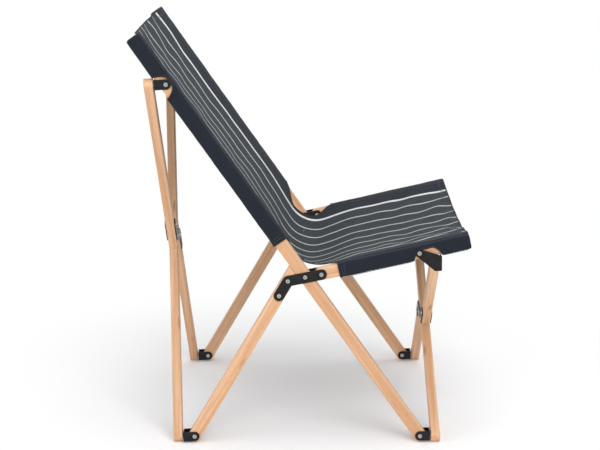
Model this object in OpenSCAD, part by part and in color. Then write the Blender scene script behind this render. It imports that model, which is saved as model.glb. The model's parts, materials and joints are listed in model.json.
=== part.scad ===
// Folding camp chair: two timber side frames joined by two crossed frames, with a fabric sling.
// +Z is up, the sitter faces -Y, and the sitter's right side is -X.

/* [Laths] */
// Width of every lath, measured in the side view
lath_w = 27; // [20:0.5:36]
// Thickness of every lath
lath_t = 20; // [14:0.5:28]
// Radius on the long edges of the laths
lath_edge_r = 2; // [1:0.25:4]

/* [Side frames] */
// Distance between the middle planes of the two side frames
frame_gap = 548; // [420:1:680]
// Slope of the long pole above the floor, in degrees
pole_angle = 55.2; // [50:0.1:60]
// Long pole, from the main pivot down to the front foot rivet
pole_low = 457; // [380:1:560]
// Long pole, from the main pivot up to the rear top rivet
pole_mid = 521; // [430:1:630]
// Long pole, from the rear top rivet up to its end
pole_tip = 119; // [60:1:180]
// Rear leg, from the main pivot's level down to the rear foot rivet
leg_len = 450; // [370:1:550]
// Gap between the rear leg and the long pole when they lie parallel
leg_fold_gap = 1.5; // [0.5:0.1:5]
// Height of the foot rivets above the floor
foot_rivet_h = 15; // [14:0.25:20]
// Distance from the main pivot to the seat rail's pivot
seat_pivot_arm = 36.4; // [33:0.2:48]
// Direction of the seat rail's pivot from the main pivot, in degrees
seat_pivot_angle = 170.5; // [160:0.5:180]
// Seat rail, from its pivot to the front top rivet
seat_mid = 220.5; // [180:0.5:270]
// Seat rail, from the front top rivet to its front end
seat_tip = 112; // [60:1:160]
// Slope of the seat rail, rising to the front, in degrees
seat_slope = 12.9; // [5:0.1:20]

/* [Bent plates] */
// Thickness of all the steel plates
plate_t = 2; // [1.5:0.1:3]
// Width of the bent plates
plate_w = 24; // [18:0.5:30]
// Upper fixed rivet, along the rear leg below the main pivot's level
plate_rivet_1 = 26.9; // [20:0.5:36]
// Spacing of the two fixed rivets along the rear leg
plate_rivet_step = 39; // [28:0.5:60]

/* [Crossed frames] */
// Gap between the long bar and the half bars when they lie parallel
cross_fold_gap = 2.5; // [0.5:0.1:6]
// Rear bars' middle plane, behind the line through the rear rivets
rear_offset = 37.5; // [30:0.5:44]
// Front bars' middle plane, ahead of the line through the front rivets
front_offset = 35; // [30:0.5:44]
// Inner fixed rivet of a cross plate, along the half bar from the centre
cross_rivet_1 = 27; // [22:0.5:40]
// Spacing of the two fixed rivets along a half bar
cross_rivet_step = 38; // [28:0.5:60]
// Gap left at a mitred end, so that it turns freely off its stop
stop_gap = 0.3; // [0.2:0.05:0.8]

/* [Brackets] */
// Height of a bracket, and of its rounded ears
bracket_h = 22; // [18:0.5:28]
// Drop from the front top rivet to the front bars' upper pivots
front_drop = 23.5; // [22:0.5:28]
// Height of the front top bracket's web
front_web_h = 35; // [30:0.5:42]
// Radius of the front top bracket's ear round its rivet
front_ear_r = 9; // [7:0.5:12]
// Gap between the front top bracket's ear and the end of the bar
front_ear_gap = 0.6; // [0.4:0.1:2]
// Gap between a bracket's web and the bar that it carries
face_gap = 2.3; // [2.2:0.1:3]

/* [Rivets] */
// Radius of a rivet's shank
rivet_r = 3; // [2:0.1:4]
// Radius of a rivet's head
rivet_head_r = 5; // [4:0.1:7]
// Thickness of a rivet's head
rivet_head_t = 1.4; // [1:0.1:2.5]
// Radius of the hole through a tubular rivet
rivet_hole_r = 1.7; // [1:0.1:2.2]
// Radial clearance of a rivet in the parts that turn on it
running_fit = 0.05; // [0.02:0.01:0.1]
// Gap on each side of a lath between the plates or ears
side_play = 0.15; // [0.1:0.05:0.4]
// Radius of the slack bore at the left front top pivot
slack_bore_r = 5.4; // [5.2:0.1:6]
// Radius of the cap over the slack bore
slack_cap_r = 6.5; // [6.5:0.1:7]

/* [Fabric] */
// Thickness of the sleeves' wall
sleeve_wall = 2.2; // [1.5:0.1:3]
// Gap between a sleeve and its lath
sleeve_gap = 0.3; // [0.2:0.05:0.6]
// Start of the back sleeve, along the long pole above the main pivot
back_sleeve_start = 97; // [80:1:130]
// Start of the seat sleeve, along the seat rail ahead of its pivot
seat_sleeve_start = 40; // [30:1:60]
// Half length of the notch round the rear top rivet
back_notch_half = 29; // [25:1:45]
// Notch behind the front top rivet
seat_notch_rear = 16; // [13:1:24]
// Notch ahead of the front top rivet
seat_notch_fore = 50; // [44:1:62]
// Height of the back sleeve's notch past the lath's middle line
back_notch_past = 12; // [11.5:0.25:13]
// Height of the seat sleeve's notch past the lath's middle line
seat_notch_past = 8; // [7.5:0.25:11]
// Thickness of the sling
sling_t = 2; // [1.5:0.1:4]
// Sag of the sling at the middle of its width
sling_sag = 30; // [15:1:45]
// Height of the sling's edges above the laths' middle lines
sling_rise = 14; // [8:0.5:16]
// Gap between the sling and the sleeves
sling_gap = 0.5; // [0.3:0.05:0.8]
// Gap left between the back and the seat of the sling at their seam
seam_gap = 0.4; // [0.3:0.05:0.8]

/* [Hidden] */
$fn = 48;
BIG = 2000;
WOOD = "BurlyWood";
STEEL = [0.09, 0.09, 0.1];
RIVET = "Silver";
BAND = [0.13, 0.16, 0.22];
CLOTH = [0.24, 0.26, 0.29];

// Shared half sizes
lath_half = lath_w / 2;
lath_half_t = lath_t / 2;
plate_in = lath_half_t + side_play;
plate_out = plate_in + plate_t;
bore_r = rivet_r + running_fit;

// Points of the side frame as [y, z], first with the main pivot's column at y = 0
function unit(a) = [cos(a), sin(a)];
function line_len(v) = sqrt(v * v);
pole_dir = unit(pole_angle);
pivot_h = foot_rivet_h + pole_low * sin(pole_angle);
leg_offset = lath_w + leg_fold_gap;
leg_reach = sqrt(leg_len * leg_len + leg_offset * leg_offset);
leg_drop = asin((pivot_h - foot_rivet_h) / leg_reach) + atan2(leg_offset, leg_len);
leg_dir = unit(-leg_drop);
leg_side = unit(90 - leg_drop);
seat_angle = 180 - seat_slope;
seat_dir = unit(seat_angle);
seat_arm = seat_pivot_arm * unit(seat_pivot_angle);

// The y shift puts the origin under the middle of the whole chair's box
pole_end = pole_mid + pole_tip;
seat_end = seat_mid + seat_tip;
sleeve_half = lath_half + sleeve_gap + sleeve_wall;
sleeve_half_t = lath_half_t + sleeve_gap + sleeve_wall;
sleeve_cap = sleeve_gap + sleeve_wall;
rear_most = (pole_end + sleeve_cap) * cos(pole_angle) + sleeve_half * sin(pole_angle);
fore_most = seat_arm[0] + (seat_end + sleeve_cap) * cos(seat_angle) - sleeve_half * sin(seat_angle);
main_pivot = [-(rear_most + fore_most) / 2, pivot_h];
front_foot = main_pivot - pole_low * pole_dir;
rear_top = main_pivot + pole_mid * pole_dir;
leg_foot = main_pivot + leg_offset * leg_side + leg_len * leg_dir;
seat_pivot = main_pivot + seat_arm;
front_top = seat_pivot + seat_mid * seat_dir;

// A crossed frame: [foot, tilt, height of the upper pivots, signed offset, side of the bars]
rear_span = rear_top - leg_foot;
front_span = front_top - front_foot;
rear_tilt = atan2(rear_span[1], rear_span[0]);
front_tilt = atan2(front_span[1], front_span[0]);
REAR = [leg_foot, rear_tilt, line_len(rear_span), -rear_offset];
FRONT = [front_foot, front_tilt, line_len(front_span) - front_drop, front_offset];

function bar_len(f) = sqrt(frame_gap * frame_gap + f[2] * f[2]);
function bar_lean(f) = asin(frame_gap / bar_len(f));
cross_offset = lath_w + cross_fold_gap;
function half_skew(f) = asin(2 * cross_offset / bar_len(f));
function half_len(f) = sqrt(pow(bar_len(f) / 2, 2) - cross_offset * cross_offset);
function open_turn(f) = 2 * bar_lean(f) - half_skew(f);
// Height of a lower pivot above the floor
function pivot_z(f) = f[0][1] + f[3] * cos(f[1]);
// How far the round centre of a foot lies past its pivot, so that the foot meets the floor
function foot_past(f, lean) =
    (pivot_z(f) - lath_half * sin(f[1]) - lath_half_t * abs(cos(f[1]))) / (sin(f[1]) * cos(lean));

// ---------------------------------------------------------------- placing

// Puts a right-hand piece on its side frame: side -1 is the sitter's right, 1 the left
module on_side(side) {
    if (side < 0) translate([-frame_gap / 2, 0, 0]) children();
    else mirror([1, 0, 0]) translate([-frame_gap / 2, 0, 0]) children();
}

// Local +Y runs along the given slope in the side view
module along(point, slope) {
    translate([0, point[0], point[1]]) rotate([slope, 0, 0]) children();
}

// Local X and Y lie in a crossed frame's plane, local +Z points forward
module in_frame(f) {
    along(f[0], f[1]) children();
}

// The middle of a crossed frame, in the plane of its bars
module at_centre(f) {
    in_frame(f) translate([0, f[2] / 2, f[3]]) children();
}

// Local +Y runs along one half bar, outward from the centre
module half_frame(f, lower) {
    at_centre(f) rotate([0, 0, bar_lean(f) - half_skew(f) + (lower ? 180 : 0)]) children();
}

// Local +Y runs up the long bar from the centre
module long_frame(f) {
    at_centre(f) rotate([0, 0, -bar_lean(f)]) children();
}

// Turns a drawing in X and Y into one in Y and Z, extruded both ways along X
module across(x_low, x_high) {
    translate([x_low, 0, 0]) rotate([90, 0, 90]) linear_extrude(x_high - x_low) children();
}

// ---------------------------------------------------------------- shapes

module strip(p, q, w) {
    step = q - p;
    translate(p) circle(d = w);
    translate(q) circle(d = w);
    translate(p) rotate(atan2(step[1], step[0])) translate([0, -w / 2]) square([line_len(step), w]);
}

module round_rect(w, h, r) {
    square([w - 2 * r, h], center = true);
    square([w, h - 2 * r], center = true);
    for (x = [-1, 1], y = [-1, 1]) translate([x * (w / 2 - r), y * (h / 2 - r)]) circle(r);
}

// A lath along Y with round ends, its width along Z and its thickness along X
module side_lath(low, high) {
    intersection() {
        translate([0, low - lath_w, 0]) rotate([-90, 0, 0])
            linear_extrude(high - low + 2 * lath_w) round_rect(lath_t, lath_w, lath_edge_r);
        across(-lath_t, lath_t) strip([low + lath_half, 0], [high - lath_half, 0], lath_w);
    }
}

// A lath along Y in a crossed frame, its width along X and its thickness along Z
module cross_lath(low, high) {
    intersection() {
        translate([0, low - lath_w, 0]) rotate([-90, 0, 0])
            linear_extrude(high - low + 2 * lath_w) round_rect(lath_w, lath_t, lath_edge_r);
        translate([0, 0, -lath_t]) linear_extrude(2 * lath_t)
            strip([0, low + lath_half], [0, high - lath_half], lath_w);
    }
}

// A bore along X, or along Z, through whatever it is taken from
module side_bore(point, r = bore_r) {
    translate([-BIG / 2, point[0], point[1]]) rotate([0, 90, 0]) cylinder(h = BIG, r = r);
}

module face_bore(point, r = bore_r) {
    translate([point[0], point[1], -BIG / 2]) cylinder(h = BIG, r = r);
}

// A tubular rivet along Z: its shank from low to high, with a head past each end that has one
module rivet(low, high, head_low = true, head_high = true) {
    difference() {
        union() {
            translate([0, 0, low - (head_low ? rivet_head_t / 2 : 0)])
                cylinder(h = high - low + (head_low ? rivet_head_t / 2 : 0)
                    + (head_high ? rivet_head_t / 2 : 0), r = rivet_r);
            if (head_low) translate([0, 0, low - rivet_head_t])
                cylinder(h = rivet_head_t, r1 = rivet_head_r - rivet_head_t / 2, r2 = rivet_head_r);
            if (head_high) translate([0, 0, high])
                cylinder(h = rivet_head_t, r1 = rivet_head_r, r2 = rivet_head_r - rivet_head_t / 2);
        }
        translate([0, 0, -BIG / 2]) cylinder(h = BIG, r = rivet_hole_r);
    }
}

// The same rivet along X through a side frame
module side_rivet(low, high, head_low = true, head_high = true) {
    rotate([0, 90, 0]) rivet(low, high, head_low, head_high);
}

// ---------------------------------------------------------------- side frames

leg_rivet_spots = [for (i = [0, 1]) plate_rivet_1 + i * plate_rivet_step];

module pole(side) {
    color(WOOD) on_side(side) along(main_pivot, pole_angle) difference() {
        side_lath(-pole_low - lath_half, pole_end);
        side_bore([0, 0]);
        side_bore([-pole_low, 0]);
        side_bore([pole_mid, 0]);
    }
}

// The rear leg's top is mitred to lie against the long pole, which stops the chair opening further
module rear_leg(side) {
    mitre_turn = pole_angle + leg_drop;
    color(WOOD) on_side(side) difference() {
        along(main_pivot, -leg_drop) translate([0, 0, leg_offset]) difference() {
            side_lath(-2 * lath_w, leg_len + lath_half);
            for (spot = leg_rivet_spots) side_bore([spot, 0], rivet_r);
            side_bore([leg_len, 0]);
        }
        along(main_pivot, -leg_drop) rotate([mitre_turn, 0, 0])
            translate([-BIG / 2, -BIG / 2, -lath_half - stop_gap]) cube([BIG, BIG, BIG]);
    }
}

module seat_rail(side) {
    front_bore = side < 0 ? bore_r : slack_bore_r;
    color(WOOD) on_side(side) along(seat_pivot, -seat_slope) difference() {
        side_lath(-seat_end, lath_half);
        side_bore([0, 0]);
        side_bore([-seat_mid, 0], front_bore);
    }
}

// Bent plate: two rivets on the rear leg, then the main pivot and the seat rail's pivot
module bent_plate(side, outer) {
    leg_spots = [for (spot = leg_rivet_spots) main_pivot + leg_offset * leg_side + spot * leg_dir];
    color(STEEL) on_side(side) difference() {
        across(outer ? -plate_out : plate_in, outer ? -plate_in : plate_out) {
            strip(leg_spots[1], leg_spots[0], plate_w);
            strip(leg_spots[0], seat_pivot, plate_w);
        }
        for (spot = leg_spots) side_bore(spot, rivet_r);
        side_bore(main_pivot);
        side_bore(seat_pivot);
    }
}

module leg_rivets(side) {
    color(RIVET) on_side(side) along(main_pivot, -leg_drop)
        for (spot = leg_rivet_spots) translate([0, spot, leg_offset]) side_rivet(-plate_out, plate_out);
}

module pivot_rivet(side, point) {
    color(RIVET) on_side(side) along(point, 0) side_rivet(-plate_out, plate_out);
}

// ---------------------------------------------------------------- brackets

// U bracket: two ears on the lath's rivet and a web on the bar's face. pinned drills the web.
module u_bracket(side, f, pivot_up, pinned) {
    sign = f[3] > 0 ? 1 : -1;
    web_out = abs(f[3]) - lath_half_t - face_gap;
    color(STEEL) on_side(side) in_frame(f) translate([0, pivot_up, 0]) difference() {
        union() {
            for (x = [-plate_out, plate_in]) across(x, x + plate_t) {
                circle(d = bracket_h);
                translate([-bracket_h / 2, sign > 0 ? 0 : -web_out]) square([bracket_h, web_out]);
            }
            translate([-plate_out, -bracket_h / 2, sign > 0 ? web_out - plate_t : -web_out])
                cube([2 * plate_out, bracket_h, plate_t]);
        }
        side_bore([0, 0]);
        if (pinned) face_bore([0, 0]);
    }
}

module u_rivet(side, f, pivot_up) {
    color(RIVET) on_side(side) in_frame(f) translate([0, pivot_up, 0]) side_rivet(-plate_out, plate_out);
}

front_ear_in = lath_half + front_ear_gap;
front_ear_out = front_ear_in + plate_t;
front_web_in = front_offset + lath_half_t + face_gap;
front_web_out = front_web_in + plate_t;

// Front top bracket: one three-cornered ear outside the rail, and a web in front of the bar
module front_top_bracket(side) {
    corner_r = plate_t * 1.5;
    web_mid = -front_drop;
    color(STEEL) on_side(side) in_frame(FRONT) translate([0, FRONT[2] + front_drop, 0]) difference() {
        union() {
            across(-front_ear_out, -front_ear_in) hull() {
                circle(front_ear_r, $fn = 32);
                for (y = [-1, 1]) translate([web_mid + y * (front_web_h / 2 - corner_r), front_web_out - corner_r])
                    circle(corner_r, $fn = 32);
                translate([web_mid - front_web_h / 2 + corner_r, front_offset]) circle(corner_r, $fn = 32);
            }
            translate([-front_ear_out, web_mid - front_web_h / 2 + corner_r, front_web_in])
                cube([front_ear_out + lath_half, front_web_h - 2 * corner_r, plate_t]);
        }
        side_bore([0, 0]);
        face_bore([0, web_mid]);
    }
}

// Shoulder rivet of the front top bracket: a collar fills the space between the ear and the rail
module front_top_rivet(side) {
    inner_end = side < 0 ? plate_in : lath_half_t - side_play;
    color(RIVET) on_side(side) in_frame(FRONT) translate([0, FRONT[2] + front_drop, 0]) rotate([0, 90, 0])
        difference() {
            union() {
                rivet(-front_ear_out, inner_end, true, side < 0);
                translate([0, 0, -front_ear_in + side_play])
                    cylinder(h = front_ear_in - plate_in - side_play, r = rivet_head_r);
            }
            translate([0, 0, -BIG / 2]) cylinder(h = BIG, r = rivet_hole_r);
        }
}

// Cap on the inside of the left seat rail, over the slack bore
module front_top_cap() {
    color(RIVET) on_side(1) in_frame(FRONT) translate([0, FRONT[2] + front_drop, 0]) rotate([0, 90, 0])
        translate([0, 0, lath_half_t]) cylinder(h = rivet_head_t, r1 = slack_cap_r,
            r2 = slack_cap_r - rivet_head_t / 2);
}

// ---------------------------------------------------------------- crossed frames

// Long bar, from the near foot to the far top
module long_bar(f) {
    half = bar_len(f) / 2;
    color(WOOD) long_frame(f) difference() {
        cross_lath(-half - foot_past(f, bar_lean(f)) - lath_half, half + lath_half);
        face_bore([0, 0]);
        for (y = [-half, half]) face_bore([0, y], rivet_r);
    }
}

// Half bar, set aside from the centre, with its inner end mitred to lie against the long bar
module half_bar(f, lower) {
    reach = half_len(f);
    past = lower ? foot_past(f, bar_lean(f) - half_skew(f)) : 0;
    color(WOOD) half_frame(f, lower) difference() {
        translate([-cross_offset, 0, 0]) cross_lath(-2 * lath_w, reach + past + lath_half);
        rotate([0, 0, -open_turn(f)]) translate([-lath_half - stop_gap, -BIG / 2, -BIG / 2])
            cube([BIG, BIG, BIG]);
        for (y = cross_rivet_spots) face_bore([-cross_offset, y], rivet_r);
        face_bore([-cross_offset, reach], rivet_r);
    }
}

cross_rivet_spots = [for (i = [0, 1]) cross_rivet_1 + i * cross_rivet_step];

module cross_plate(f, fore) {
    low = fore ? plate_in : -plate_out;
    color(STEEL) half_frame(f, false) difference() {
        translate([0, 0, low]) linear_extrude(plate_t) for (turn = [0, 180]) rotate(turn) {
            strip([-cross_offset, cross_rivet_spots[1]], [-cross_offset, cross_rivet_spots[0]], plate_w);
            strip([-cross_offset, cross_rivet_spots[0]], [0, 0], plate_w);
        }
        face_bore([0, 0]);
        for (turn = [0, 180], y = cross_rivet_spots) rotate(turn) face_bore([-cross_offset, y], rivet_r);
    }
}

module cross_rivets(f) {
    color(RIVET) for (lower = [false, true]) half_frame(f, lower)
        for (y = cross_rivet_spots) translate([-cross_offset, y, 0]) rivet(-plate_out, plate_out);
}

module centre_rivet(f) {
    color(RIVET) at_centre(f) rivet(-plate_out, plate_out);
}

// Rivets that carry the half bars on their brackets. behind is true where the web lies behind the bar.
module half_end_rivets(f) {
    rear = f[3] < 0;
    web_low = lath_half_t + face_gap + plate_t;
    color(RIVET) {
        half_frame(f, false) translate([-cross_offset, half_len(f), 0])
            rivet(-lath_half_t, web_low);
        half_frame(f, true) translate([-cross_offset, half_len(f), 0])
            rivet(-lath_half_t, rear ? web_low : lath_half_t, rear, true);
    }
}

// Rivets at the long bar's ends. Where the pivot is left open they stop flush with the bar.
module long_end_rivets(f) {
    half = bar_len(f) / 2;
    rear = f[3] < 0;
    web_low = lath_half_t + face_gap + plate_t;
    color(RIVET) long_frame(f) {
        translate([0, half, 0]) rivet(-lath_half_t, rear ? lath_half_t : web_low, true, !rear);
        translate([0, -half, 0]) rivet(-lath_half_t, lath_half_t, rear, !rear);
    }
}

// ---------------------------------------------------------------- fabric

// A sleeve along Y round a lath, closed past the lath's end, with a notch in its lower side
module sleeve(low, high, notch_low, notch_high, notch_past, cap_high) {
    inner = sleeve_gap;
    difference() {
        translate([-sleeve_half_t, low, -sleeve_half])
            cube([2 * sleeve_half_t, high - low, 2 * sleeve_half]);
        translate([-lath_half_t - inner, low - (cap_high ? sleeve_wall : -sleeve_wall), -lath_half - inner])
            cube([lath_t + 2 * inner, high - low, lath_w + 2 * inner]);
        translate([-lath_t, notch_low, -lath_w])
            cube([2 * lath_t, notch_high - notch_low, lath_w + notch_past]);
    }
}

module back_sleeve(side) {
    color(BAND) on_side(side) along(main_pivot, pole_angle)
        sleeve(back_sleeve_start, pole_end + sleeve_cap, pole_mid - back_notch_half,
            pole_mid + back_notch_half, back_notch_past, true);
}

module seat_sleeve(side) {
    color(BAND) on_side(side) along(seat_pivot, -seat_slope)
        sleeve(-seat_end - sleeve_cap, -seat_sleeve_start, -seat_mid - seat_notch_fore,
            -seat_mid + seat_notch_rear, seat_notch_past, false);
}

// Sagging cross-section of the sling, in X and Y
module sling_section(half) {
    arc_r = (half * half + sling_sag * sling_sag) / (2 * sling_sag);
    intersection() {
        translate([0, sling_rise - sling_sag + arc_r]) difference() {
            circle(arc_r, $fn = 720);
            circle(arc_r - sling_t, $fn = 720);
        }
        translate([-half, sling_rise - 2 * sling_sag]) square([2 * half, 3 * sling_sag]);
    }
}

sling_half = frame_gap / 2 - sleeve_half_t - sling_gap;
plate_clear = frame_gap / 2 - plate_out - rivet_head_t - sling_gap;
// Where the middle lines of the long pole and the seat rail cross
fold_gap_vec = seat_pivot - main_pivot;
cross_dirs = pole_dir[0] * seat_dir[1] - pole_dir[1] * seat_dir[0];
fold_reach = (fold_gap_vec[0] * seat_dir[1] - fold_gap_vec[1] * seat_dir[0]) / cross_dirs;
fold_point = main_pivot + fold_reach * pole_dir;
fold_angle = (pole_angle + seat_angle) / 2;

module sling_run(point, slope, low, high) {
    along(point, slope) translate([0, high, 0]) rotate([90, 0, 0])
        linear_extrude(high - low) sling_section(sling_half);
}

// Keeps the sling clear of the bent plates between the sleeves' ends
module crotch_relief() {
    for (x = [-1, 1]) translate([x * (plate_clear + lath_w / 2), 0, 0])
        across(-lath_w / 2, lath_w / 2) strip(main_pivot + back_sleeve_start * pole_dir,
            seat_pivot + seat_sleeve_start * seat_dir, 2 * seat_pivot_arm);
}

module back_sling() {
    color(CLOTH) difference() {
        sling_run(main_pivot, pole_angle, -lath_w * 2, pole_end);
        along(fold_point, fold_angle) translate([-BIG / 2, -BIG / 2, -seam_gap / 2]) cube([BIG, BIG, BIG]);
        crotch_relief();
    }
}

module seat_sling() {
    color(CLOTH) difference() {
        sling_run(seat_pivot, -seat_slope, -seat_end, lath_w * 3);
        along(fold_point, fold_angle) translate([-BIG / 2, -BIG / 2, seam_gap / 2 - BIG])
            cube([BIG, BIG, BIG]);
        crotch_relief();
    }
}

// ---------------------------------------------------------------- nodes

pole(-1);  // right_pole
rear_leg(-1);  // right_rear_leg
seat_rail(-1);  // right_seat_rail
bent_plate(-1, true);  // right_outer_plate
bent_plate(-1, false);  // right_inner_plate
leg_rivets(-1);  // right_leg_rivets
pivot_rivet(-1, main_pivot);  // right_main_rivet
pivot_rivet(-1, seat_pivot);  // right_seat_rivet
u_bracket(-1, REAR, 0, false);  // right_rear_foot_bracket
u_rivet(-1, REAR, 0);  // right_rear_foot_rivet
u_bracket(-1, FRONT, 0, false);  // right_front_foot_bracket
u_rivet(-1, FRONT, 0);  // right_front_foot_rivet
u_bracket(-1, REAR, REAR[2], true);  // right_rear_top_bracket
u_rivet(-1, REAR, REAR[2]);  // right_rear_top_rivet
front_top_bracket(-1);  // right_front_top_bracket
front_top_rivet(-1);  // right_front_top_rivet
back_sleeve(-1);  // right_back_sleeve
seat_sleeve(-1);  // right_seat_sleeve
pole(1);  // left_pole
rear_leg(1);  // left_rear_leg
seat_rail(1);  // left_seat_rail
bent_plate(1, true);  // left_outer_plate
bent_plate(1, false);  // left_inner_plate
leg_rivets(1);  // left_leg_rivets
pivot_rivet(1, main_pivot);  // left_main_rivet
pivot_rivet(1, seat_pivot);  // left_seat_rivet
u_bracket(1, REAR, 0, true);  // left_rear_foot_bracket
u_rivet(1, REAR, 0);  // left_rear_foot_rivet
u_bracket(1, FRONT, 0, false);  // left_front_foot_bracket
u_rivet(1, FRONT, 0);  // left_front_foot_rivet
u_bracket(1, REAR, REAR[2], false);  // left_rear_top_bracket
u_rivet(1, REAR, REAR[2]);  // left_rear_top_rivet
front_top_bracket(1);  // left_front_top_bracket
front_top_rivet(1);  // left_front_top_rivet
front_top_cap();  // left_front_top_cap
back_sleeve(1);  // left_back_sleeve
seat_sleeve(1);  // left_seat_sleeve
long_bar(REAR);  // rear_long_bar
half_bar(REAR, false);  // rear_upper_half_bar
half_bar(REAR, true);  // rear_lower_half_bar
cross_plate(REAR, true);  // rear_cross_plate_fore
cross_plate(REAR, false);  // rear_cross_plate_aft
cross_rivets(REAR);  // rear_cross_rivets
centre_rivet(REAR);  // rear_centre_rivet
half_end_rivets(REAR);  // rear_half_end_rivets
long_end_rivets(REAR);  // rear_long_end_rivets
long_bar(FRONT);  // front_long_bar
half_bar(FRONT, false);  // front_upper_half_bar
half_bar(FRONT, true);  // front_lower_half_bar
cross_plate(FRONT, true);  // front_cross_plate_fore
cross_plate(FRONT, false);  // front_cross_plate_aft
cross_rivets(FRONT);  // front_cross_rivets
centre_rivet(FRONT);  // front_centre_rivet
half_end_rivets(FRONT);  // front_half_end_rivets
long_end_rivets(FRONT);  // front_long_end_rivets
back_sling();
seat_sling();
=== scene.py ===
"""Looks of a folding camp chair: beech laths, black steel fittings and a striped fabric sling.

Metres, +Z up. The sitter faces -Y, and the sitter's right side is -X.
"""

import json
import math

import bpy
import numpy as np
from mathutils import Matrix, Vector, noise

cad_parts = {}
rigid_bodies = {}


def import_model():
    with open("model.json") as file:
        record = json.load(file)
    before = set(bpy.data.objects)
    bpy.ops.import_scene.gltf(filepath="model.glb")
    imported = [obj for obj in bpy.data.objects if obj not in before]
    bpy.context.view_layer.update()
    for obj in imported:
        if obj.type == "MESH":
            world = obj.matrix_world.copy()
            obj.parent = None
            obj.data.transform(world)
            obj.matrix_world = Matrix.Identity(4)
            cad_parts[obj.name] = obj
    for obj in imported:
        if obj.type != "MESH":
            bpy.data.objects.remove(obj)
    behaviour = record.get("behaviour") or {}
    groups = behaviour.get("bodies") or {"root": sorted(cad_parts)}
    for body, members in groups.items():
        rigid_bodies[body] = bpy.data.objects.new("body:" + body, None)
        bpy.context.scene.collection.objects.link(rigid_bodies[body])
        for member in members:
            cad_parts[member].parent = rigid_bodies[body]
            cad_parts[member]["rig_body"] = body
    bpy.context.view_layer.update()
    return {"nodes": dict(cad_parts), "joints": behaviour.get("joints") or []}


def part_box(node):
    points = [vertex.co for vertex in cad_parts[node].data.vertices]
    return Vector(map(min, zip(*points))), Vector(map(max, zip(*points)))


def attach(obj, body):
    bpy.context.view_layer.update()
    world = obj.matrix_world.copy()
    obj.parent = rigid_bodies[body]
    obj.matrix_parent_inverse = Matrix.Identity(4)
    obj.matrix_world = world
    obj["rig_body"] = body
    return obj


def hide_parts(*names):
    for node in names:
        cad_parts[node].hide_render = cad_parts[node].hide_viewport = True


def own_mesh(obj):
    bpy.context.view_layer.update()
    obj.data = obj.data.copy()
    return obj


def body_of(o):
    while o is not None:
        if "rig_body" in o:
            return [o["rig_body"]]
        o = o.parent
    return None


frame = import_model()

# The cloth and its sag
CLOTH_T = 0.0012
CORNER_R = 0.0045
SAG = 0.032
SAG_FLATTER = 0.12
SLING_LIFT = 0.0007
SLING_ROWS = 190
SLING_COLUMNS = 121
ROW_STEP = 0.003
# The row of the sling on which its width across is measured
WIDTH_ROW = 10

# The crotch: the length of each run that bends, half its width, its drop, and where these begin
CROTCH_RUN = 0.052
CROTCH_BENDS = 26
CROTCH_HALF = 0.224
CROTCH_DROP = 0.011
DROP_START = 0.06
DROP_RUN = 0.11
CUT_RUN = 0.052
CUT_START = 0.006

# The stripes, from the cloth's middle
STRIPE_OUTER = 0.208
STRIPE_COUNT = 9
THIN_HALF = 0.0027
BOLD_HALF = 0.0045
PLAIN_FADE = 0.003
WEAVE_PITCH = 0.0016

# The sewing
HEM_W = 0.016
HEM_ROW_GAP = 0.003
HEM_R = 0.0016
HEM_BACK = 0.0012
STITCH_LEN = 0.0032
STITCH_PITCH = 0.0048
STITCH_R = 0.00042
SLING_STITCH_LIFT = 0.0007
SLEEVE_STITCH_LIFT = 0.0006
SIDE_STITCH_COLUMNS = (4, 5, SLING_COLUMNS - 6, SLING_COLUMNS - 5)
SIDE_STITCH_ROWS = range(2, SLING_ROWS - 42)
FREE_EDGE_ROWS = range(SLING_ROWS - 60, SLING_ROWS)
FREE_EDGE_R = 0.0012
BINDING_R = 0.0023
END_HEM_R = BINDING_R * 0.9

# The sleeves, and their notches as the reach behind a pivot, in front of it and up the lath's sides
SLEEVE_COLUMNS = 57
SLEEVE_STITCH_ROWS = (2, 4)
SLEEVE_START = 0.001
SLEEVE_STOP = 0.004
CLOSED_END = ((0.003, 0.985), (0.0012, 0.93), (0.0003, 0.7), (0, 0.02))
CREASE_H = 0.0008
FINE_CREASE_H = 0.00035
BACK_NOTCH = (0.029, 0.029, 0.010)
SEAT_NOTCH = (0.016, 0.050, 0.006)
NOTCH_SHOULDER = 0.006
NOTCH_ROUNDING = 2.6
NOTCH_ROW = 0.0015
NOTCH_EDGE = 1e-5

# The cut edge under the seat's sleeves
SELVEDGE_R = 0.0011
SELVEDGE_OFF_MIDDLE = 0.38
SELVEDGE_BEHIND = 0.019
SELVEDGE_AHEAD = 0.053
SELVEDGE_START = 0.012
SELVEDGE_STOP = 0.006
SELVEDGE_WAVE = 0.001

# The sling's wrinkles: how high they are, how far apart and how far they reach
BROAD_FOLD_H = 0.0048
NARROW_FOLD_H = 0.0022
PUCKER_H = 0.0055
PUCKER_PITCH = 0.085
PUCKER_REACH = 0.11

# The camera's place, its direction and its lens
CAMERA_AT = Vector((-3.352, 0.0222, 1.2913))
CAMERA_PITCH = 0.2497
CAMERA_YAW = -0.0058
CAMERA_LENS = 86.99
SENSOR_WIDTH = 36

# The floor, and how far from the middle it fades to plain white
FLOOR_SIZE = 60
FLOOR_DROP = 0.0005
FADE_START = 0.3
FADE_END = 1.0

# The lamps' target
CHAIR_MIDDLE = Vector((0, 0, 0.45))


def srgb(r, g, b):
    """A colour from 8-bit sRGB values, as linear RGBA."""
    shares = [c / 255 for c in (r, g, b)]
    return tuple(c / 12.92 if c <= 10 / 255 else ((c + 0.055) / 1.055) ** 2.4 for c in shares) + (1,)


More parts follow.
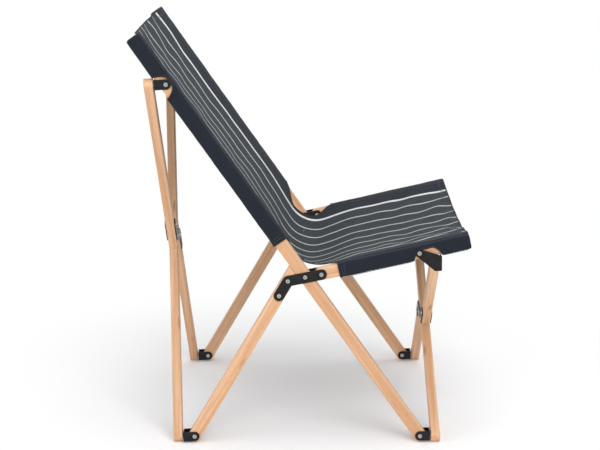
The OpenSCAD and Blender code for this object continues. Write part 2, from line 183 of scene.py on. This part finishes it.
BEECH_LIGHT = srgb(231, 188, 151)
BEECH_DARK = srgb(207, 157, 116)
BEECH_PORE = srgb(150, 98, 62)
BEECH_KNOT = srgb(140, 86, 52)
COAT = srgb(12, 12, 14)
COAT_RUBBED = srgb(26, 26, 29)
ZINC = srgb(214, 212, 206)
ZINC_DULL = srgb(176, 174, 168)
LINE_THIN = srgb(206, 211, 212)
LINE_BOLD = srgb(238, 240, 238)
LINE_WORN = srgb(120, 128, 134)
SLING_BORDER = srgb(29, 35, 44)
SLING_GROUND = srgb(43, 49, 54)
SLING_FLECK = srgb(84, 91, 97)
BAND_GROUND = srgb(27, 33, 42)
BAND_FLECK = srgb(47, 54, 65)
TAPE_DARK = srgb(6, 7, 9)
TAPE_LIGHT = srgb(22, 24, 30)
SELVEDGE_DARK = srgb(120, 124, 128)
SELVEDGE_LIGHT = srgb(214, 216, 216)
THREAD_DARK = srgb(60, 66, 76)
THREAD_LIGHT = srgb(112, 118, 128)
FLOOR_WHITE = (0.99, 0.99, 0.99, 1)
SOFT_LIGHT = (0.95, 0.97, 1, 1)
PLAIN_WHITE = (1, 1, 1, 1)


# ---------------------------------------------------------------- node helpers


def new_material(name):
    """A material with its shader and an empty tree round it."""
    material = bpy.data.materials.new(name)
    material.use_nodes = True
    tree = material.node_tree
    return material, tree, tree.nodes["Principled BSDF"]


def math_node(tree, operation, a, b=None):
    """One math step on numbers or sockets. Returns its output."""
    node = tree.nodes.new("ShaderNodeMath")
    node.operation = operation
    for i, value in enumerate((a, b)):
        if isinstance(value, (int, float)):
            node.inputs[i].default_value = value
        elif value is not None:
            tree.links.new(value, node.inputs[i])
    return node.outputs[0]


def spread(tree, value, gain, base):
    """A number times a gain, plus a base."""
    return math_node(tree, "ADD", math_node(tree, "MULTIPLY", value, gain), base)


def blend_colours(tree, factor, a, b):
    """Mixes two colours, given as tuples or sockets, by a factor."""
    node = tree.nodes.new("ShaderNodeMix")
    node.data_type = "RGBA"
    for i, value in ((0, factor), (6, a), (7, b)):
        if isinstance(value, (int, float, tuple)):
            node.inputs[i].default_value = value
        else:
            tree.links.new(value, node.inputs[i])
    return node.outputs[2]


def band(tree, value, low, high):
    """0 below low, 1 above high, and smooth between them."""
    node = tree.nodes.new("ShaderNodeMapRange")
    node.interpolation_type = "SMOOTHSTEP"
    node.inputs["From Min"].default_value = low
    node.inputs["From Max"].default_value = high
    tree.links.new(value, node.inputs["Value"])
    return node.outputs["Result"]


def scaled(tree, vector, scale):
    """A vector with each part multiplied."""
    node = tree.nodes.new("ShaderNodeVectorMath")
    node.operation = "MULTIPLY"
    node.inputs[1].default_value = scale
    tree.links.new(vector, node.inputs[0])
    return node.outputs[0]


def noise_at(tree, vector, scale=1.0, detail=2.0, distortion=0.0):
    """The value of a noise texture at a vector."""
    node = tree.nodes.new("ShaderNodeTexNoise")
    node.inputs["Scale"].default_value = scale
    node.inputs["Detail"].default_value = detail
    node.inputs["Distortion"].default_value = distortion
    tree.links.new(vector, node.inputs["Vector"])
    return node.outputs["Fac"]


def bump(tree, shader, height, distance):
    """Feeds a height to the shader's normal."""
    node = tree.nodes.new("ShaderNodeBump")
    node.inputs["Distance"].default_value = distance
    tree.links.new(height, node.inputs["Height"])
    tree.links.new(node.outputs["Normal"], shader.inputs["Normal"])


def object_coordinates(tree):
    """The place on the piece, in its own metres."""
    return tree.nodes.new("ShaderNodeTexCoord").outputs["Object"]


# ---------------------------------------------------------------- materials


def lath_axes(node):
    """A lath's middle and its axes, the longest first."""
    co = np.array([v.co for v in frame["nodes"][node].data.vertices])
    middle = (co.min(0) + co.max(0)) / 2
    axes = np.linalg.svd(co - co.mean(0), full_matrices=False)[2]
    return Vector(middle), [Vector(a) for a in axes]


def along_lath(tree, node, shift):
    """The place on a lath: along its grain, across its width and through its thickness."""
    middle, axes = lath_axes(node)
    off = tree.nodes.new("ShaderNodeVectorMath")
    off.operation = "SUBTRACT"
    off.inputs[1].default_value = middle
    tree.links.new(object_coordinates(tree), off.inputs[0])
    place = tree.nodes.new("ShaderNodeCombineXYZ")
    for i, axis in enumerate(axes):
        dot = tree.nodes.new("ShaderNodeVectorMath")
        dot.operation = "DOT_PRODUCT"
        dot.inputs[1].default_value = axis
        tree.links.new(off.outputs[0], dot.inputs[0])
        tree.links.new(math_node(tree, "ADD", dot.outputs["Value"], shift * (i + 1)), place.inputs[i])
    return place.outputs[0]


def beech(node, number):
    """Oiled beech: soft streaks along the grain, short ray flecks and a rare small knot."""
    material, tree, shader = new_material(f"beech_{node}")
    place = along_lath(tree, node, 0.37 * number)
    tone = 0.5 + 0.5 * math.sin(2.4 * number)
    light = tuple(np.array(BEECH_LIGHT) * (0.97 + 0.05 * tone))
    dark = tuple(np.array(BEECH_DARK) * (0.95 + 0.07 * tone))
    streaks = noise_at(tree, scaled(tree, place, (3.5, 130, 130)), detail=4, distortion=0.4)
    broad = noise_at(tree, scaled(tree, place, (1.6, 28, 28)), detail=2, distortion=0.8)
    grain = spread(tree, streaks, 0.62, math_node(tree, "MULTIPLY", broad, 0.38))
    wood = blend_colours(tree, band(tree, grain, 0.36, 0.66), dark, light)
    pores = noise_at(tree, scaled(tree, place, (90, 1500, 1500)), detail=1)
    fleck = math_node(tree, "MULTIPLY", band(tree, pores, 0.62, 0.72), 0.42)
    wood = blend_colours(tree, fleck, wood, BEECH_PORE)
    cells = tree.nodes.new("ShaderNodeTexVoronoi")
    cells.inputs["Scale"].default_value = 1.0
    tree.links.new(scaled(tree, place, (7, 34, 34)), cells.inputs["Vector"])
    knot = math_node(tree, "SUBTRACT", 1.0, band(tree, cells.outputs["Distance"], 0.05, 0.17))
    wood = blend_colours(tree, math_node(tree, "MULTIPLY", knot, 0.55), wood, BEECH_KNOT)
    tree.links.new(wood, shader.inputs["Base Color"])
    tree.links.new(spread(tree, streaks, 0.18, 0.38), shader.inputs["Roughness"])
    shader.inputs["Specular IOR Level"].default_value = 0.35
    bump(tree, shader, math_node(tree, "SUBTRACT", streaks, fleck), 0.00012)
    return material


def powder_coat():
    """Satin black powder coat with a fine orange peel and rubbed patches."""
    material, tree, shader = new_material("powder_coat")
    place = object_coordinates(tree)
    peel = noise_at(tree, place, scale=1400, detail=2)
    rubbed = noise_at(tree, place, scale=70, detail=4)
    colour = blend_colours(tree, band(tree, rubbed, 0.45, 0.75), COAT, COAT_RUBBED)
    shader.inputs["Specular IOR Level"].default_value = 0.3
    tree.links.new(colour, shader.inputs["Base Color"])
    tree.links.new(spread(tree, rubbed, 0.22, 0.3), shader.inputs["Roughness"])
    bump(tree, shader, peel, 0.00008)
    return material


def rivet_metal():
    """Bright zinc plating with fine grit, a little dull in places."""
    material, tree, shader = new_material("rivet_metal")
    place = object_coordinates(tree)
    dull = noise_at(tree, place, scale=320, detail=3)
    colour = blend_colours(tree, dull, ZINC, ZINC_DULL)
    tree.links.new(colour, shader.inputs["Base Color"])
    shader.inputs["Metallic"].default_value = 1.0
    tree.links.new(spread(tree, dull, 0.25, 0.16), shader.inputs["Roughness"])
    bump(tree, shader, noise_at(tree, place, scale=1500, detail=1), 0.00003)
    return material


def weave(tree, place):
    """The height of a plain weave at a place on the cloth, and the place's part across."""
    split = tree.nodes.new("ShaderNodeSeparateXYZ")
    tree.links.new(place, split.inputs[0])
    turn = 2 * math.pi / WEAVE_PITCH
    warp = math_node(tree, "SINE", math_node(tree, "MULTIPLY", split.outputs[0], turn))
    weft = math_node(tree, "SINE", math_node(tree, "MULTIPLY", split.outputs[1], turn))
    return math_node(tree, "MULTIPLY", warp, weft), split.outputs[0]


def cloth_place(tree):
    """The place on the cloth as across and along, in metres."""
    node = tree.nodes.new("ShaderNodeUVMap")
    node.uv_map = "cloth"
    return node.outputs[0]


def woven(name, ground, fleck_colour, fleck_share, striped):
    """Heather woven cloth. The striped one has light lengthwise lines and plain dark bands beside them."""
    material, tree, shader = new_material(name)
    place = cloth_place(tree)
    height, across = weave(tree, place)
    heather = noise_at(tree, scaled(tree, place, (900, 320, 1)), detail=2)
    tone = noise_at(tree, scaled(tree, place, (14, 9, 1)), detail=3)
    flecks = math_node(tree, "MULTIPLY", band(tree, heather, 0.45, 0.68), fleck_share)
    colour = blend_colours(tree, flecks, ground, fleck_colour)
    if striped:
        step = 2 * STRIPE_OUTER / (STRIPE_COUNT - 1)
        off_centre = math_node(tree, "ABSOLUTE", across)
        count = math_node(tree, "DIVIDE", math_node(tree, "ADD", across, STRIPE_OUTER), step)
        off_line = math_node(tree, "SUBTRACT", count, math_node(tree, "ROUND", count))
        off_line = math_node(tree, "MULTIPLY", math_node(tree, "ABSOLUTE", off_line), step)
        outside = math_node(tree, "GREATER_THAN", off_centre, STRIPE_OUTER + 2 * BOLD_HALF)
        is_bold = math_node(tree, "GREATER_THAN", off_centre, STRIPE_OUTER - 2 * BOLD_HALF)
        half = spread(tree, is_bold, BOLD_HALF - THIN_HALF, THIN_HALF)
        beyond = band(tree, math_node(tree, "SUBTRACT", off_line, half), -0.0003, 0.0005)
        inside = math_node(tree, "SUBTRACT", 1.0, beyond)
        line = math_node(tree, "MULTIPLY", inside, math_node(tree, "SUBTRACT", 1.0, outside))
        light = blend_colours(tree, is_bold, LINE_THIN, LINE_BOLD)
        light = blend_colours(tree, math_node(tree, "MULTIPLY", heather, 0.3), light, LINE_WORN)
        plain = band(tree, off_centre, STRIPE_OUTER, STRIPE_OUTER + PLAIN_FADE)
        colour = blend_colours(tree, plain, colour, SLING_BORDER)
        colour = blend_colours(tree, line, colour, light)
    shaded = tree.nodes.new("ShaderNodeVectorMath")
    shaded.operation = "SCALE"
    tree.links.new(colour, shaded.inputs[0])
    tree.links.new(spread(tree, tone, 0.24, 0.88), shaded.inputs["Scale"])
    tree.links.new(shaded.outputs[0], shader.inputs["Base Color"])
    tree.links.new(spread(tree, heather, 0.2, 0.72), shader.inputs["Roughness"])
    shader.inputs["Specular IOR Level"].default_value = 0.2
    shader.inputs["Sheen Weight"].default_value = 0.05
    shader.inputs["Sheen Roughness"].default_value = 0.5
    bump(tree, shader, spread(tree, heather, 0.6, height), 0.00022)
    return material


def twisted(name, dark, light, pitch):
    """Thread, selvedge and binding tape: fine diagonal ribs with flecks of tone."""
    material, tree, shader = new_material(name)
    place = object_coordinates(tree)
    rib = tree.nodes.new("ShaderNodeTexWave")
    rib.bands_direction = "DIAGONAL"
    rib.inputs["Scale"].default_value = 1 / pitch / 10
    rib.inputs["Distortion"].default_value = 1.5
    tree.links.new(place, rib.inputs["Vector"])
    tone = noise_at(tree, place, scale=600, detail=2)
    mixed = math_node(tree, "MULTIPLY", rib.outputs["Fac"], tone)
    tree.links.new(blend_colours(tree, mixed, dark, light), shader.inputs["Base Color"])
    tree.links.new(spread(tree, tone, 0.2, 0.65), shader.inputs["Roughness"])
    bump(tree, shader, rib.outputs["Fac"], 0.0001)
    return material


# ---------------------------------------------------------------- mesh helpers


def piece(name, points, faces, material, body, places=None):
    """A smooth mesh piece that rides on a body. places are each point's across and along on the cloth."""
    mesh = bpy.data.meshes.new(name)
    mesh.from_pydata([tuple(p) for p in points], [], faces)
    mesh.polygons.foreach_set("use_smooth", [True] * len(mesh.polygons))
    if places is not None:
        layer = mesh.uv_layers.new(name="cloth")
        for loop in mesh.loops:
            layer.data[loop.index].uv = places[loop.vertex_index]
    mesh.materials.append(material)
    made = bpy.data.objects.new(name, mesh)
    bpy.context.scene.collection.objects.link(made)
    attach(made, body)
    return made


def grid_faces(rows, columns, closed=False, start=0):
    """The faces of a grid of points, row by row."""
    last = columns if closed else columns - 1
    return [
        (
            start + r * columns + c,
            start + r * columns + (c + 1) % columns,
            start + (r + 1) * columns + (c + 1) % columns,
            start + (r + 1) * columns + c,
        )
        for r in range(rows - 1)
        for c in range(last)
    ]


def tube(path, radius, sides=8, start=0):
    """A closed round tube along a path: its points and faces."""
    points = []
    for i, centre in enumerate(path):
        ahead = (path[min(i + 1, len(path) - 1)] - path[max(i - 1, 0)]).normalized()
        side = ahead.cross(Vector((0.31, 0.19, 0.93))).normalized()
        top = side.cross(ahead)
        for k in range(sides):
            a = 2 * math.pi * k / sides
            points.append(centre + radius * (math.cos(a) * side + math.sin(a) * top))
    faces = grid_faces(len(path), sides, True, start)
    faces.append(tuple(start + k for k in reversed(range(sides))))
    faces.append(tuple(start + (len(path) - 1) * sides + k for k in range(sides)))
    return points, faces


def tubes(name, paths, radius, material, body, sides=8):
    """Several tubes as one piece."""
    points, faces = [], []
    for path in paths:
        more, rings = tube(path, radius, sides, len(points))
        points += more
        faces += rings
    return piece(name, points, faces, material, body)


def resampled(path, step):
    """Points at even steps along a path."""
    lengths = np.cumsum([0] + [(b - a).length for a, b in zip(path, path[1:])])
    wanted = np.arange(0, lengths[-1], step).tolist()
    co = np.array(path)
    return [Vector([np.interp(w, lengths, co[:, k]) for k in range(3)]) for w in wanted]


def stitches(path):
    """Short arched lengths of thread along a path."""
    starts = resampled(path, STITCH_PITCH)
    made = []
    for here, there in zip(starts, starts[1:]):
        step = (there - here).normalized() * STITCH_LEN
        made.append([here, here + step * 0.5, here + step])
    return made


def thicken(cloth):
    """Gives a cloth surface its thickness, half on each side."""
    solid = cloth.modifiers.new("cloth_thickness", "SOLIDIFY")
    solid.thickness = CLOTH_T
    solid.offset = 0


# ---------------------------------------------------------------- the runs of cloth along the laths


class Run:
    """A lath's line in the side view: s along it from its pivot, and n off it to the sitter's side."""

    def __init__(self, joint_low, joint_high, turn):
        joints = {j["name"]: j["pos_m"] for j in frame["joints"]}
        low, high = joints[joint_low], joints[joint_high]
        self.origin = Vector((0, low[1], low[2]))
        self.ahead = Vector((0, high[1] - low[1], high[2] - low[2])).normalized()
        self.up = Vector((0, -turn * self.ahead.z, turn * self.ahead.y))
        self.reach = (Vector((0, high[1], high[2])) - self.origin).length

    def at(self, x, s, n):
        """The point at x across the chair, s along the lath and n off its middle line."""
        return Vector((x, 0, 0)) + self.origin + float(s) * self.ahead + float(n) * self.up

    def extent(self, node, axis):
        """How far a CAD node reaches along one of the run's axes."""
        dots = [(v.co - self.origin).dot(axis) for v in frame["nodes"][node].data.vertices]
        return min(dots), max(dots)


BACK = Run("fold", "right_rear_top_pivot", 1)
SEAT = Run("right_seat_pivot", "right_front_top_pivot", -1)


def outline(half_x, half_n, around):
    """A point round a sleeve's section, from the middle of its lower side, and its outward direction."""
    flat_x, flat_n = half_x - CORNER_R, half_n - CORNER_R
    arc = math.pi / 2 * CORNER_R
    legs = [flat_x, arc, 2 * flat_n, arc, 2 * flat_x, arc, 2 * flat_n, arc, flat_x]
    left = around * sum(legs)
    corners = [(1, -1), (1, 1), (-1, 1), (-1, -1)]
    heading = -math.pi / 2
    place = Vector((0, -half_n))
    for i, leg in enumerate(legs):
        step = min(left, leg)
        left -= step
        if i % 2 == 0:
            place += step * Vector((-math.sin(heading), math.cos(heading)))
        else:
            cx, cn = corners[i // 2]
            turned = heading + step / CORNER_R
            place = Vector((cx * flat_x, cn * flat_n))
            place += CORNER_R * Vector((math.cos(turned), math.sin(turned)))
            heading = turned
        if left <= 0:
            break
    return place, Vector((math.cos(heading), math.sin(heading)))


def perimeter(half_x, half_n):
    """The way round a sleeve's section."""
    return 4 * (half_x + half_n) - (8 - 2 * math.pi) * CORNER_R


def notch_share(s, notch, half_x, half_n):
    """How far round the section the notch has taken the cloth away, from the side below."""
    low, high, top = notch
    if not low < s < high:
        return 0.0
    edge = min(s - low, high - s)
    rise = 1 - (1 - min(edge / (4 * NOTCH_SHOULDER), 1)) ** NOTCH_ROUNDING
    return (half_x + (top + half_n) * rise) / perimeter(half_x, half_n)


def sleeve(name, run, seed, notch_size, material, tape, thread):
    """The band of cloth sewn into a sleeve round a lath, with a bound notch round a bracket."""
    low, high = run.extent(name, run.ahead)
    n_low, n_high = run.extent(name, run.up)
    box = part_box(name)
    x_mid = (box[0].x + box[1].x) / 2
    half_x = (box[1].x - box[0].x) / 2
    half_n = (n_high - n_low) / 2
    behind, before, top = notch_size
    notch = (run.reach - behind, run.reach + before, top)
    body = body_of(frame["nodes"][name])[0]
    ends = [notch[0] + off for off in (-NOTCH_EDGE, NOTCH_EDGE, NOTCH_ROW)]
    ends += [notch[1] + off for off in (-NOTCH_ROW, -NOTCH_EDGE, NOTCH_EDGE)]
    plain = np.arange(low + SLEEVE_START, high - SLEEVE_STOP, ROW_STEP).tolist()
    rows = sorted(plain + ends)
    shrink = [1.0] * len(rows) + [scale for _, scale in CLOSED_END]
    rows += [high - short for short, _ in CLOSED_END]
    columns = SLEEVE_COLUMNS
    points, places = [], []
    for s, scale in zip(rows, shrink):
        share = notch_share(s, notch, half_x, half_n)
        for c in range(columns):
            around = share + (1 - 2 * share) * c / (columns - 1)
            flat, out = outline(half_x, half_n, around)
            crease = noise.noise(Vector((around * 9 + 7 * seed, s * 26, x_mid * 31)))
            fine = noise.noise(Vector((around * 24, s * 70 + 9 * seed, 3.3)))
            flat = flat * scale + out * (CREASE_H * crease + FINE_CREASE_H * fine)
            points.append(run.at(x_mid + flat.x, s, flat.y))
            places.append((around * perimeter(half_x, half_n), s))
    faces = grid_faces(len(rows), columns)
    made = piece(name + "_cloth", points, faces, material, body, places)
    thicken(made)
    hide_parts(name)
    bound = [i for i, s in enumerate(rows) if notch[0] < s < notch[1]]
    near = [points[i * columns] for i in bound]
    far = [points[i * columns + columns - 1] for i in bound]
    loop = near + list(reversed(far)) + near[:2]
    tubes(name + "_binding", [loop], BINDING_R, tape, body)
    rim = points[:columns]
    tubes(name + "_end_hem", [rim + rim[:2]], END_HEM_R, tape, body)
    sewn = []
    for row in SLEEVE_STITCH_ROWS:
        ring = points[row * columns : (row + 1) * columns]
        centre = run.at(x_mid, rows[row], 0)
        sewn += stitches([p + SLEEVE_STITCH_LIFT * (p - centre).normalized() for p in ring])
    tubes(name + "_end_stitches", sewn, STITCH_R, thread, body, 5)


def selvedge(name, run, material):
    """The pale cut edge of the cloth along a sleeve's underside, behind its notch and in front of it."""
    low, high = run.extent(name, run.ahead)
    under = run.extent(name, run.up)[0] - SELVEDGE_R
    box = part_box(name)
    x_mid = (box[0].x + box[1].x) / 2
    x_mid += math.copysign(SELVEDGE_OFF_MIDDLE * (box[1].x - box[0].x), x_mid)
    paths = []
    behind = (low + SELVEDGE_START, run.reach - SELVEDGE_BEHIND)
    before = (run.reach + SELVEDGE_AHEAD, high - SELVEDGE_STOP)
    for start, end in (behind, before):
        stops = np.arange(start, end, ROW_STEP).tolist()
        waves = [SELVEDGE_WAVE * noise.noise(Vector((s * 60, x_mid, 0))) for s in stops]
        paths.append([run.at(x_mid + wave, s, under) for s, wave in zip(stops, waves)])
    body = body_of(frame["nodes"][name])[0]
    tubes(name + "_selvedge", paths, SELVEDGE_R, material, body, 6)


# ---------------------------------------------------------------- the sling


def meeting(n):
    """Where the back's and the seat's lines cross, at a height n above both, as s on each."""
    a, b = BACK.at(0, 0, n), SEAT.at(0, 0, n)
    gap = b - a
    cross = BACK.ahead.y * SEAT.ahead.z - BACK.ahead.z * SEAT.ahead.y
    on_back = (gap.y * SEAT.ahead.z - gap.z * SEAT.ahead.y) / cross
    on_seat = (gap.y * BACK.ahead.z - gap.z * BACK.ahead.y) / cross
    return on_back, on_seat


def sling_path(run, n, top):
    """One line of the sling's surface, from its free end on a run to the seam in the crotch."""
    on_back, on_seat = meeting(n)
    corner = BACK.at(0, on_back, n)
    start = (on_back if run is BACK else on_seat) + CROTCH_RUN
    p0 = run.at(0, start, n)
    other = SEAT if run is BACK else BACK
    p2 = other.at(0, (on_seat if run is BACK else on_back) + CROTCH_RUN, n)
    straight = top - start
    count = int(straight / ROW_STEP)
    path = [run.at(0, top - straight * i / count, n) for i in range(count)]
    for i in range(CROTCH_BENDS + 1):
        t = 0.5 * i / CROTCH_BENDS
        path.append((1 - t) ** 2 * p0 + 2 * t * (1 - t) * corner + t * t * p2)
    return path


def eased(share):
    """0 to 1 as a smooth step."""
    share = min(max(share, 0), 1)
    return share * share * (3 - 2 * share)


def section(u, half_top, lath_in, rise):
    """The sling's height across its width: flat on the laths, and sagging between them."""
    x = abs(u) * half_top
    if x >= lath_in:
        return rise
    share = x / lath_in
    return rise - SAG * (1 - share**2) * (1 - SAG_FLATTER * share**6)


def wrinkle(place, x, lath_in, from_top):
    """How far the cloth stands off its smooth shape: soft cross folds, and puckers near the top corners."""
    free = max(0.0, 1 - (abs(x) / lath_in) ** 4)
    broad = noise.noise(Vector((x * 3.2, place.y * 11 + 3.7, place.z * 11)))
    narrow = noise.noise(Vector((x * 6.5 + 9.1, place.y * 24, place.z * 24 + 1.7)))
    slant = math.sin((from_top + abs(x) * 0.55) * 2 * math.pi / PUCKER_PITCH + 3.1 * broad)
    pucker = math.exp(-from_top / PUCKER_REACH) * (0.35 + 0.65 * (abs(x) / lath_in) ** 2)
    return free * (BROAD_FOLD_H * broad + NARROW_FOLD_H * narrow + PUCKER_H * pucker * slant)


def sling(name, run, sleeves, replaced, body, material, tape, thread):
    """One half of the sling, from its free hem to the seam. Also returns the left sleeve's inner x."""
    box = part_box(sleeves[1])
    inner = box[0].x
    middle = (box[0].x + box[1].x) / 2
    rise = run.extent(sleeves[1], run.up)[1] + SLING_LIFT
    low, high = run.extent(sleeves[1], run.ahead)
    shares = np.linspace(-1, 1, SLING_COLUMNS)
    heights = [section(u, middle, inner, rise) for u in shares.tolist()]
    paths = [sling_path(run, n, high - 0.0006) for n in heights]
    mid_path = paths[SLING_COLUMNS // 2]
    flat_length = sum((b - a).length for a, b in zip(mid_path, mid_path[1:]))
    lines = []
    for path in paths:
        lengths = np.cumsum([0] + [(b - a).length for a, b in zip(path, path[1:])])
        co = np.array(path)
        wanted = np.linspace(0, lengths[-1], SLING_ROWS)
        lines.append(np.stack([np.interp(wanted, lengths, co[:, k]) for k in range(3)], 1))
    surface = np.array(lines)
    xs = middle * shares
    rises = np.linalg.norm(np.diff(surface[:, WIDTH_ROW], axis=0), axis=1)
    steps = np.hypot(np.diff(xs), rises)
    across = np.concatenate([[0], np.cumsum(steps)])
    width = float(across[-1])
    top_middle = Vector(surface[SLING_COLUMNS // 2, 0].tolist())
    points, places = [], []
    for r in range(SLING_ROWS):
        here = surface[:, r]
        ahead = surface[:, min(r + 1, SLING_ROWS - 1)] - surface[:, max(r - 1, 0)]
        s_edge = (Vector(here[0].tolist()) - run.origin).dot(run.ahead)
        opened = eased((low + CUT_START - s_edge) / CUT_RUN)
        cut = middle + (CROTCH_HALF - middle) * opened
        drop = CROTCH_DROP * eased((low + DROP_START - s_edge) / DROP_RUN)
        for x in np.linspace(-cut, cut, SLING_COLUMNS).tolist():
            place = Vector([float(np.interp(x, xs, here[:, k])) for k in range(3)])
            step = Vector([float(np.interp(x, xs, ahead[:, k])) for k in range(3)]).normalized()
            out = Vector((0, -step.z, step.y)) * (-1 if run is BACK else 1)
            lift = wrinkle(place, x, inner, (top_middle - place).length)
            points.append(place + Vector((x, 0, 0)) + out * (lift - drop * (1 - (x / middle) ** 4)))
            s = (place - run.origin).dot(run.ahead)
            places.append((float(np.interp(x, xs, across)) - width / 2, s if run is BACK else -s))
    columns = SLING_COLUMNS
    faces = grid_faces(SLING_ROWS, columns)
    made = piece(name + "_cloth", points, faces, material, body, places)
    thicken(made)
    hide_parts(replaced)
    fold_back = run.ahead * -HEM_BACK
    hem = [p + fold_back for p in points[:columns]]
    rolled = tubes(name + "_hem", [hem], HEM_R, tape, body)
    sewn = []
    step = flat_length / (SLING_ROWS - 1)
    lifted = run.up * SLING_STITCH_LIFT
    for depth in (HEM_W, HEM_W - HEM_ROW_GAP):
        row = round(depth / step)
        sewn += stitches([p + lifted for p in points[row * columns : (row + 1) * columns]])
    for c in SIDE_STITCH_COLUMNS:
        sewn += stitches([points[r * columns + c] + lifted for r in SIDE_STITCH_ROWS])
    edges = [[points[r * columns + c] for r in FREE_EDGE_ROWS] for c in (0, columns - 1)]
    bound = tubes(name + "_free_edges", edges, FREE_EDGE_R, tape, body)
    seams = tubes(name + "_stitches", sewn, STITCH_R, thread, body, 5)
    return [made, rolled, seams, bound], inner


# ---------------------------------------------------------------- stage


def sees_backdrop(tree):
    """1 for the rays that show the white backdrop: the camera's, and those in metal and gloss."""
    rays = tree.nodes.new("ShaderNodeLightPath")
    shown = math_node(tree, "MAXIMUM", rays.outputs["Is Camera Ray"], rays.outputs["Is Glossy Ray"])
    return math_node(tree, "MAXIMUM", shown, rays.outputs["Is Transmission Ray"])


def floor():
    """A white floor that takes the shadow near the chair and is plain white far from it."""
    material, tree, shader = new_material("floor")
    shader.inputs["Base Color"].default_value = FLOOR_WHITE
    shader.inputs["Roughness"].default_value = 0.9
    shader.inputs["Specular IOR Level"].default_value = 0.1
    length = tree.nodes.new("ShaderNodeVectorMath")
    length.operation = "LENGTH"
    tree.links.new(object_coordinates(tree), length.inputs[0])
    fade = band(tree, length.outputs["Value"], FADE_START, FADE_END)
    far = math_node(tree, "MULTIPLY", fade, sees_backdrop(tree))
    white = tree.nodes.new("ShaderNodeEmission")
    mix = tree.nodes.new("ShaderNodeMixShader")
    tree.links.new(far, mix.inputs[0])
    tree.links.new(shader.outputs[0], mix.inputs[1])
    tree.links.new(white.outputs[0], mix.inputs[2])
    tree.links.new(mix.outputs[0], tree.nodes["Material Output"].inputs["Surface"])
    bpy.ops.mesh.primitive_plane_add(size=FLOOR_SIZE, location=(0, 0, -FLOOR_DROP))
    plane = bpy.context.object
    plane.name = "floor"
    plane.data.materials.append(material)


def world():
    """Soft light from all round, and a white background."""
    made = bpy.data.worlds.new("studio")
    bpy.context.scene.world = made
    made.use_nodes = True
    tree = made.node_tree
    soft = tree.nodes["Background"]
    soft.inputs["Color"].default_value = SOFT_LIGHT
    soft.inputs["Strength"].default_value = 0.55
    plain = tree.nodes.new("ShaderNodeBackground")
    plain.inputs["Color"].default_value = PLAIN_WHITE
    mix = tree.nodes.new("ShaderNodeMixShader")
    tree.links.new(sees_backdrop(tree), mix.inputs[0])
    tree.links.new(soft.outputs[0], mix.inputs[1])
    tree.links.new(plain.outputs[0], mix.inputs[2])
    tree.links.new(mix.outputs[0], tree.nodes["World Output"].inputs["Surface"])


def lamp(name, place, size, power):
    """A soft area lamp that points at the chair's middle."""
    data = bpy.data.lights.new(name, "AREA")
    data.size = size
    data.energy = power
    made = bpy.data.objects.new(name, data)
    made.location = place
    made.rotation_mode = "QUATERNION"
    made.rotation_quaternion = (CHAIR_MIDDLE - Vector(place)).to_track_quat("-Z", "Y")
    bpy.context.scene.collection.objects.link(made)


def camera():
    """The camera, on the sitter's right and a little above the chair, looking slightly down."""
    data = bpy.data.cameras.new("camera")
    data.sensor_width = SENSOR_WIDTH
    data.lens = CAMERA_LENS
    made = bpy.data.objects.new("camera", data)
    made.location = CAMERA_AT
    made.rotation_mode = "QUATERNION"
    flat = math.cos(CAMERA_PITCH)
    look = Vector((flat * math.cos(CAMERA_YAW), flat * math.sin(CAMERA_YAW), -math.sin(CAMERA_PITCH)))
    made.rotation_quaternion = look.to_track_quat("-Z", "Y")
    bpy.context.scene.collection.objects.link(made)
    bpy.context.scene.camera = made


# ---------------------------------------------------------------- the chair


def dress_frame():
    """Gives every hard CAD node its material."""
    steel, metal = powder_coat(), rivet_metal()
    laths = 0
    for name, node in sorted(frame["nodes"].items()):
        if name.endswith(("sleeve", "sling")):
            continue
        if name.endswith(("pole", "leg", "rail", "bar")):
            laths += 1
            material = beech(name, laths)
        elif name.endswith(("plate", "bracket", "fore", "aft")):
            material = steel
        else:
            material = metal
        node.data.materials.clear()
        node.data.materials.append(material)


def dress_cloth():
    """Replaces the plain cloth solids with sewn ones."""
    band_cloth = woven("band_cloth", BAND_GROUND, BAND_FLECK, 0.3, False)
    sling_cloth = woven("sling_cloth", SLING_GROUND, SLING_FLECK, 0.42, True)
    tape = twisted("binding_tape", TAPE_DARK, TAPE_LIGHT, 0.0012)
    pale = twisted("selvedge", SELVEDGE_DARK, SELVEDGE_LIGHT, 0.001)
    thread = twisted("thread", THREAD_DARK, THREAD_LIGHT, 0.0007)
    for i, side in enumerate(("right", "left")):
        sleeve(f"{side}_back_sleeve", BACK, i, BACK_NOTCH, band_cloth, tape, thread)
        sleeve(f"{side}_seat_sleeve", SEAT, i + 2, SEAT_NOTCH, band_cloth, tape, thread)
        selvedge(f"{side}_seat_sleeve", SEAT, pale)
    soft = []
    for name, run, body in (("back_sling", BACK, "right_pole"), ("seat_sling", SEAT, "right_seat_rail")):
        kind = name.split("_")[0]
        pair = [f"{side}_{kind}_sleeve" for side in ("right", "left")]
        made, inner = sling(name, run, pair, name, body, sling_cloth, tape, thread)
        soft += made
    for cloth in soft:
        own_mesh(cloth)


dress_frame()
dress_cloth()
floor()
world()
lamp("key", (-2.6, -0.9, 2.6), 2.2, 62)
lamp("fill", (-1.4, 2.4, 1.6), 2.0, 22)
lamp("top", (0.3, -0.2, 3.2), 2.4, 30)
camera()
bpy.context.scene.view_settings.view_transform = "Standard"
